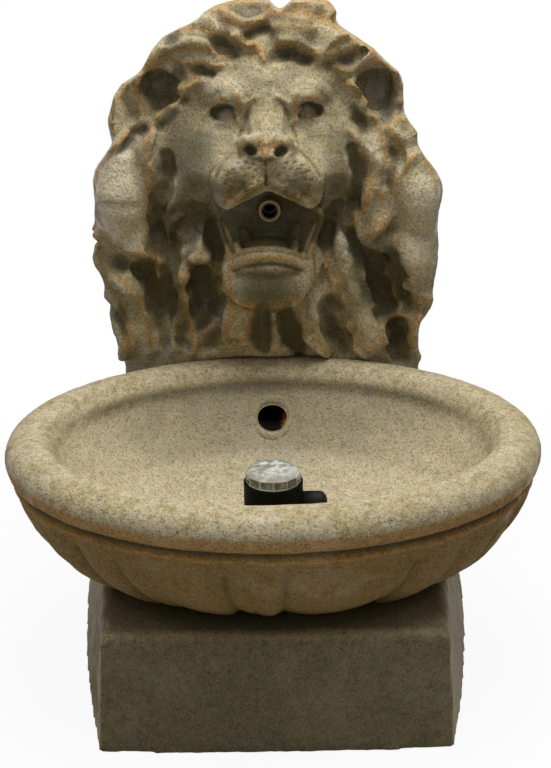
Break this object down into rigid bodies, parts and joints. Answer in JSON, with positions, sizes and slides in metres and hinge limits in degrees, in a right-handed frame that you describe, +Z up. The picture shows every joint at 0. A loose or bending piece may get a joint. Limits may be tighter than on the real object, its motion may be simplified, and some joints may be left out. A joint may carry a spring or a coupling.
{
  "type": "garden wall fountain",
  "caption": "Cast-stone wall fountain: a lion head with open mouth spills into an oval fluted basin on a pedestal tank, with a pump, riser hose and a round basin light.",
  "frame": {"origin": "on the ground, at the pedestal's underside, below the middle of the basin", "axes": "+Z up, +X to the right seen from the front, +Y from the basin towards the wall"},
  "size_m": [0.41, 0.369, 0.505],
  "materials": {
    "cast_stone": "sand-textured cast stone, speckled, partly sealed",
    "adhesive": "bonding mortar",
    "sleeve_resin": "cast resin",
    "spout_resin": "stained resin",
    "cover_plastic": "textured moulded sheet",
    "foam_rubber": "closed-cell foam",
    "stainless_steel": "satin",
    "brass": "turned",
    "black_rubber": "matte",
    "vinyl_hose": "milky flexible vinyl",
    "pump_plastic": "moulded",
    "white_ceramic": "ground",
    "rotor_plastic": "bonded magnet",
    "intake_plastic": "moulded",
    "dial_plastic": "moulded",
    "clear_rubber": "translucent rubber",
    "black_plastic": "moulded, satin gloss",
    "circuit_board": "white solder mask",
    "diode_resin": "clear epoxy over phosphor",
    "clear_lens": "moulded clear, faceted"
  },
  "bodies": {
    "root": {"pedestal": "cast_stone", "basin": "cast_stone", "lion_back": "cast_stone", "bond_bed": "adhesive", "return_sleeve": "sleeve_resin", "rear_cover": "cover_plastic", "cover_gasket": "foam_rubber", "cover_screws": "stainless_steel", "cover_inserts": "brass", "cord_grommet": "black_rubber", "hanger_plate": "stainless_steel", "hanger_screws": "stainless_steel", "spout_tube": "spout_resin", "riser_hose": "vinyl_hose", "pump_housing": "pump_plastic", "chamber_cover": "pump_plastic", "chamber_seal": "black_rubber", "rear_bush": "black_rubber", "front_bush": "black_rubber", "impeller_shaft": "white_ceramic", "intake_cover": "intake_plastic", "pump_suction_cups": "clear_rubber", "light_foot": "black_rubber", "light_housing": "black_plastic", "light_gland": "black_rubber", "lamp_board": "circuit_board", "lamp_leds": "diode_resin", "lens_seal": "black_rubber"},
    "impeller": {"impeller": "rotor_plastic"},
    "flow_dial": {"flow_dial": "dial_plastic"},
    "light_lens": {"light_lens": "clear_lens"}
  },
  "joints": [
    {"name": "impeller_spin", "type": "hinge", "parent": "root", "child": "impeller", "pos_m": [0.02, 0.16, 0.038], "axis": [1, 0, 0], "continuous": true},
    {"name": "flow_dial_turn", "type": "hinge", "parent": "root", "child": "flow_dial", "pos_m": [0.05, 0.16, 0.038], "axis": [1, 0, 0], "range_deg": [0, 90]},
    {"name": "lens_turn", "type": "hinge", "parent": "root", "child": "light_lens", "pos_m": [0, 0, 0.16], "axis": [0, 0, 1], "range_deg": [0, 30]}
  ]
}
